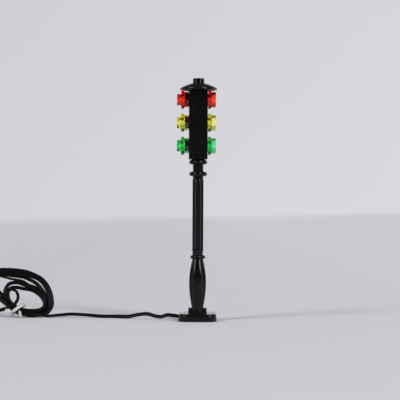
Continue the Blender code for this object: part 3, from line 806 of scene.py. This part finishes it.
def lamp_post(finish):
    inner = BASE_SIDE - 2 * BASE_WALL
    rod = [(0, CAVITY_DEPTH + 0.3 * MM), (TUBE_RADIUS, CAVITY_DEPTH + 0.3 * MM), (TUBE_RADIUS, 0), (0, 0)]
    socket = [(0, CAVITY_DEPTH), (SOCKET_RADIUS, CAVITY_DEPTH), (SOCKET_RADIUS, -1 * MM), (0, -1 * MM)]
    bore = [(0, 4.3 * MM), (BORE_RADIUS, 4.2 * MM), (1.7 * MM, CAVITY_DEPTH - 0.3 * MM),
            (0, CAVITY_DEPTH - 0.3 * MM)]
    notch = (2 * BASE_WALL + 1 * MM, NOTCH[0], 2 * NOTCH[1])
    slot = (2 * SOCKET_RADIUS, NOTCH[0], 3 * CAVITY_DEPTH)
    steps = [
        ("DIFFERENCE", block("cavity", (inner, inner, 2 * CAVITY_DEPTH), (0, 0, 0), 0.3 * MM, 3)),
        ("UNION", lathe("tube", eased(rod), 64)),
        ("UNION", collar()),
        ("UNION", lathe("shaft", post_outline(), 16 * FLUTES, True, fluted)),
        ("DIFFERENCE", lathe("tube_socket", socket, 64)),
        ("DIFFERENCE", lathe("flare", bore, 64)),
        ("DIFFERENCE", block("notch", notch, (-BASE_SIDE / 2, 0, 0), 0.15 * MM, 3)),
        ("DIFFERENCE", block("slot", slot, (-TUBE_RADIUS, 0, -CAVITY_DEPTH / 2))),
    ]
    mesh = carved(foot_plate(), steps)
    return piece("moulded_post", mesh, "post", finish, ("lamp_post",))


# ---------------------------------------------------------------- bricks, pins, lenses and dish

def brick(level, bottom, finish):
    low, high, side = bottom + SEAT_GAP, bottom + BRICK_HEIGHT, BRICK_SIDE
    half, (wide, deep) = side / 2, COUNTERBORE
    step = half - deep
    stud = [(0, high + STUD_HEIGHT), (STUD_RADIUS, high + STUD_HEIGHT), (STUD_RADIUS, high - 0.3 * MM),
            (0, high - 0.3 * MM)]
    channel = [(0, high + 4 * MM), (CHANNEL_RADIUS, high + 4 * MM), (CHANNEL_RADIUS, low - 1 * MM),
               (0, low - 1 * MM)]
    lip = 0.1 * MM
    bore = [(0, half + 1 * MM), (wide + lip, half + 1 * MM), (wide + lip, half), (wide, half - lip),
            (wide, step), (SOCKET_RADIUS, step), (SOCKET_RADIUS, -step), (wide, -step),
            (wide, -half + lip), (wide + lip, -half), (wide + lip, -half - 1 * MM), (0, -half - 1 * MM)]
    width = 2 * SOCKET_RADIUS
    steps = [
        ("UNION", lathe("stud", eased(stud), 64)),
        ("DIFFERENCE", block("socket", (width, width, 2 * SOCKET_DEPTH), (0, 0, low), 0.1 * MM, 2)),
        ("DIFFERENCE", lathe("channel", channel, 48)),
        ("DIFFERENCE", along_x(lathe("bore", bore, 96), 0, bottom + BORE_HEIGHT)),
    ]
    body = block("brick", (side, side, high - low), (0, 0, (low + high) / 2), EDGE, 3)
    mesh = carved(body, steps)
    return piece(f"housing_{level}", mesh, f"{level}_section", finish, (f"brick_{level}",))


def stud_pin(level, bore_at, finish):
    face = BRICK_SIDE / 2 - SEAT_GAP
    top, foot = face + STUD_HEIGHT, face - PIN_FLANGE[1]
    tip = foot - PIN_LENGTH
    wide = PIN_FLANGE[0]
    outline = eased([
        (PIN_HOLLOW, (top + tip) / 2), (PIN_HOLLOW, top), (STUD_RADIUS, top), (STUD_RADIUS, face),
        (wide, face), (wide, foot), (STUD_RADIUS, foot), (STUD_RADIUS, tip), (PIN_HOLLOW, tip),
        (PIN_HOLLOW, (top + tip) / 2),
    ], 0.12 * MM)[:-1]
    name = f"half_pin_{level}"
    mesh = along_x(lathe(name, outline, 96, True), 0, bore_at)
    return piece(name, mesh, f"{level}_section", finish, (f"stud_pin_{level}",))


def lens_outline():
    """From the stud's end down to the neck's, with the neck's socket and the hole up into the stud."""
    neck, thick = LENS_NECK[1], LENS_FLANGE[1]
    body = neck + thick
    return eased([
        (0, body + STUD_HEIGHT), (STUD_RADIUS, body + STUD_HEIGHT), (STUD_RADIUS, body),
        (LENS_FLANGE[0], body), (LENS_FLANGE[0], neck), (LENS_NECK[0], neck), (LENS_NECK[0], 0),
        (SOCKET_RADIUS, 0),
        (SOCKET_RADIUS, SOCKET_DEPTH), (LENS_RECESS[0], SOCKET_DEPTH), (LENS_RECESS[0], LENS_RECESS[1]),
        (0, LENS_RECESS[1]),
    ], 0.14 * MM, 5)


def lenses(level, bore_at, finish):
    face = BRICK_SIDE / 2
    body = LENS_NECK[1] + LENS_FLANGE[1]
    for side, x in (("left", -face - SEAT_GAP), ("right", face + RIGHT_LENS_GAP + body)):
        mesh = along_x(lathe(f"aspect_{side}_{level}", lens_outline(), 128), x, bore_at)
        name = f"aspect_{side}_{level}"
        piece(name, mesh, f"{side}_lens_{level}", finish, (f"lens_{side}_{level}",))


def dish(finish):
    seat = POST_HEIGHT + 3 * BRICK_HEIGHT + SEAT_GAP
    stud = [(0, DISH_TOP), (STUD_RADIUS, DISH_TOP), (STUD_RADIUS, DISH_CROWN), (2.7 * MM, DISH_CROWN)]
    outline = eased(stud)
    edge_radius, edge_height = DISH_RADIUS - DISH_EDGE[0], DISH_WIDEST
    start = math.radians(67)
    shoulder = (edge_radius + DISH_EDGE[0] * math.cos(start), edge_height + DISH_EDGE[1] * math.sin(start))
    for i in range(3, 24):
        share = i / 24
        reach = STUD_RADIUS + (shoulder[0] - STUD_RADIUS) * share
        outline.append((reach, DISH_CROWN - (DISH_CROWN - shoulder[1]) * share**1.48))
    for across, up in arc((0, 0), 1, 67, -90, 20):
        tall = DISH_EDGE[1] if up > 0 else DISH_EDGE[2]
        outline.append((edge_radius + DISH_EDGE[0] * across, edge_height + tall * up))
    under = [outline[-1], (6.2 * MM, 96.7 * MM), (DISH_BOSS_RADIUS + 0.1 * MM, 97.6 * MM),
             (DISH_BOSS_RADIUS, seat), (SOCKET_RADIUS, seat), (SOCKET_RADIUS, seat + SOCKET_DEPTH),
             (0, seat + SOCKET_DEPTH)]
    outline += eased(under)[1:]
    mesh = lathe("roof_dish", outline, 144)
    return piece("roof_dish", mesh, "cap", finish, ("cap_dish",))


def carry_over(finishes):
    """The CAD nodes that stay as they are get their own materials."""
    for name, node in frame["nodes"].items():
        if node.hide_render:
            continue
        slot = next(part["material_slot"] for part in record["subparts"] if part["node"] == name)
        node.data.materials.clear()
        node.data.materials.append(finishes[slot])


# ---------------------------------------------------------------- studio

def make_floor():
    """A matte pale floor with painted light on it, whose far edge, slightly askew, fades into a painted glow
    in place of the lit wall behind it.
    """
    fade, side, near = (-0.28, 0.42), 9.0, 9.0
    turn = math.atan(2.02)
    mesh = bpy.data.meshes.new("studio_floor")
    corners = [(-side, -near, 0), (side, -near, 0), (side, fade[1], 0), (-side, fade[1], 0)]
    mesh.from_pydata(corners, [], [(0, 1, 2, 3)])
    floor = loose("studio_floor", mesh)
    floor.location = (0.0, 3.28, 0.0)
    floor.rotation_euler = (0, 0, turn)
    made, tree, shader = new_material("studio_paper")
    where = tree.nodes.new("ShaderNodeTexCoord")
    parts = tree.nodes.new("ShaderNodeSeparateXYZ")
    tree.links.new(where.outputs["Object"], parts.inputs["Vector"])
    # Painted light: the floor's colour is graded from near_colour to far_colour, then made lighter to the
    # right and lighter toward the camera, standing in for uneven studio light.
    near_colour, far_colour = (0.700, 0.711, 0.725), (0.716, 0.728, 0.742)
    colour = mixed_colour(tree, parts.outputs["Y"], near_colour, far_colour, (-1.6, -0.3))
    where_x = along(tree, where.outputs["Object"], (math.cos(turn), -math.sin(turn), 0))
    where_y = along(tree, where.outputs["Object"], (math.sin(turn), math.cos(turn), 0))
    rightwards = mixed_colour(tree, where_x, (0.97, 0.97, 0.97), (1.04, 1.04, 1.04), (-0.12, 0.12))
    painted_light_nearer = mixed_colour(tree, where_y, (1.06, 1.06, 1.06), (1.0, 1.0, 1.0), (-3.50, -3.24))
    colour = product(tree, colour, product(tree, rightwards, painted_light_nearer))
    tree.links.new(colour, shader.inputs["Base Color"])
    shader.inputs["Roughness"].default_value = 0.85
    shader.inputs["Specular IOR Level"].default_value = 0.1
    # Painted glow: the floor's far strip emits the colour of a lit wall, darker on the left, though no lamp
    # is there.
    painted_glow_left, painted_glow_right = (0.649, 0.643, 0.677), (0.701, 0.696, 0.731)
    wall = tree.nodes.new("ShaderNodeEmission")
    painted_glow_colour = mixed_colour(tree, parts.outputs["X"], painted_glow_left, painted_glow_right, (-1.1, 1.6))
    tree.links.new(painted_glow_colour, wall.inputs["Color"])
    mix = tree.nodes.new("ShaderNodeMixShader")
    tree.links.new(ranged(tree, parts.outputs["Y"], 0, 1, fade), mix.inputs["Fac"])
    tree.links.new(shader.outputs["BSDF"], mix.inputs[1])
    tree.links.new(wall.outputs["Emission"], mix.inputs[2])
    tree.links.new(mix.outputs["Shader"], tree.nodes["Material Output"].inputs["Surface"])
    mesh.materials.append(made)


def product(tree, first, second):
    """Two colours multiplied, each a link or three numbers."""
    made = tree.nodes.new("ShaderNodeMix")
    made.data_type = "RGBA"
    made.blend_type = "MULTIPLY"
    made.inputs[0].default_value = 1.0
    for value, socket in ((first, made.inputs[6]), (second, made.inputs[7])):
        if isinstance(value, tuple):
            socket.default_value = (*value, 1)
        else:
            tree.links.new(value, socket)
    return made.outputs[2]


def combined(tree, operation, *values):
    made = tree.nodes.new("ShaderNodeMath")
    made.operation = operation
    for value, socket in zip(values, made.inputs):
        if isinstance(value, (int, float)):
            socket.default_value = value
        else:
            tree.links.new(value, socket)
    return made.outputs["Value"]


def along(tree, direction, axis):
    made = tree.nodes.new("ShaderNodeVectorMath")
    made.operation = "DOT_PRODUCT"
    made.inputs[1].default_value = axis
    tree.links.new(direction, made.inputs[0])
    return made.outputs["Value"]


def soft_box(tree, direction, azimuth, half_width, low, high, level):
    """A distant soft box: azimuth 0 is at the front and grows to the right, low and high are elevations."""
    a = math.radians(azimuth)
    ahead = along(tree, direction, (math.sin(a), -math.cos(a), 0))
    aside = combined(tree, "ABSOLUTE", along(tree, direction, (math.cos(a), math.sin(a), 0)))
    aside = combined(tree, "DIVIDE", aside, combined(tree, "MAXIMUM", ahead, 0.001))
    rise = along(tree, direction, (0, 0, 1))
    edge = math.tan(math.radians(half_width))
    inside = ranged(tree, aside, 1, 0, (0.75 * edge, 1.1 * edge))
    over = ranged(tree, rise, 0, 1, (math.sin(math.radians(low)) - 0.04, math.sin(math.radians(low)) + 0.10))
    under = ranged(tree, rise, 1, 0, (math.sin(math.radians(high)), math.sin(math.radians(high)) + 0.08))
    shape = combined(tree, "MULTIPLY", inside, combined(tree, "MULTIPLY", over, under))
    return combined(tree, "MULTIPLY", shape, level)


def make_world():
    """A dim room with two soft boxes in front, a weak glow overhead and a lit backdrop behind.

    The camera itself sees a plain pale backdrop, darker to the lower left.
    """
    world = bpy.data.worlds.new("studio")
    scene.world = world
    world.use_nodes = True
    tree = world.node_tree
    back = tree.nodes["Background"]
    direction = tree.nodes.new("ShaderNodeTexCoord").outputs["Generated"]
    across, behind, rise = (along(tree, direction, axis) for axis in ((1, 0, 0), (0, 1, 0), (0, 0, 1)))
    rightwards = ranged(tree, across, -0.03, 0.03, (-0.17, 0.17))
    upwards = ranged(tree, rise, 0, -0.03, (0, 0.17))
    slope = combined(tree, "ADD", rightwards, upwards)
    seen = mixed_colour(tree, slope, (0.587, 0.582, 0.615), (0.763, 0.757, 0.793), (-0.1, 0.1))
    backwards = ranged(tree, behind, 0.0, 1.0, (-0.1, 0.5))
    sweep = combined(tree, "MULTIPLY", backwards, ranged(tree, rise, 0.88, 0.0, (0.20, 0.62)))
    overhead = ranged(tree, rise, 0, 0.25, (0.80, 0.95))
    total = combined(tree, "ADD", combined(tree, "ADD", 0.06, sweep), overhead)
    total = combined(tree, "ADD", total, soft_box(tree, direction, -53, 10, 12, 52, 8.0))
    total = combined(tree, "ADD", total, soft_box(tree, direction, 42, 10, 12, 52, 11.0))
    lit = product(tree, total, (0.995, 0.99, 1.03))
    choose = tree.nodes.new("ShaderNodeMix")
    choose.data_type = "RGBA"
    tree.links.new(tree.nodes.new("ShaderNodeLightPath").outputs["Is Camera Ray"], choose.inputs[0])
    tree.links.new(lit, choose.inputs[6])
    tree.links.new(seen, choose.inputs[7])
    tree.links.new(choose.outputs[2], back.inputs["Color"])


def studio():
    make_floor()
    make_world()
    scene.view_settings.view_transform = "Standard"


# ---------------------------------------------------------------- assembly

def build():
    black = black_plastic()
    finishes = {
        "circuit_board": circuit_board(),
        "led_chip": led_chip(),
        "resistor_body": resistor_body(),
        "lead_sheath": sheath(),
        "clear_glue": glue(),
    }
    tints = {
        "lower": clear_plastic("clear_green_pc", (0.33, 0.957, 0.65), 2000),
        "middle": clear_plastic("clear_yellow_pc", (0.963, 0.952, 0.15), 920),
        "upper": clear_plastic("clear_red_pc", (0.999, 0.44, 0.10), 3000),
    }
    lead, path = make_lead(finishes["lead_sheath"])
    tie = twist_tie(pale_plastic("white_ribbon", (0.50, 0.50, 0.49), (0.62, 0.62, 0.61), (0.4, 0.55)))
    nylon = pale_plastic("natural_nylon", (0.70, 0.68, 0.60), (0.80, 0.79, 0.72), (0.3, 0.45))
    ends = plug(nylon, tinned())
    lamp_post(black)
    for number, level in enumerate(LEVELS):
        bottom = POST_HEIGHT + number * BRICK_HEIGHT
        brick(level, bottom, black)
        stud_pin(level, bottom + BORE_HEIGHT, black)
        lenses(level, bottom + BORE_HEIGHT, tints[level])
    dish(black)
    carry_over(finishes)


make_camera()
build()
studio()
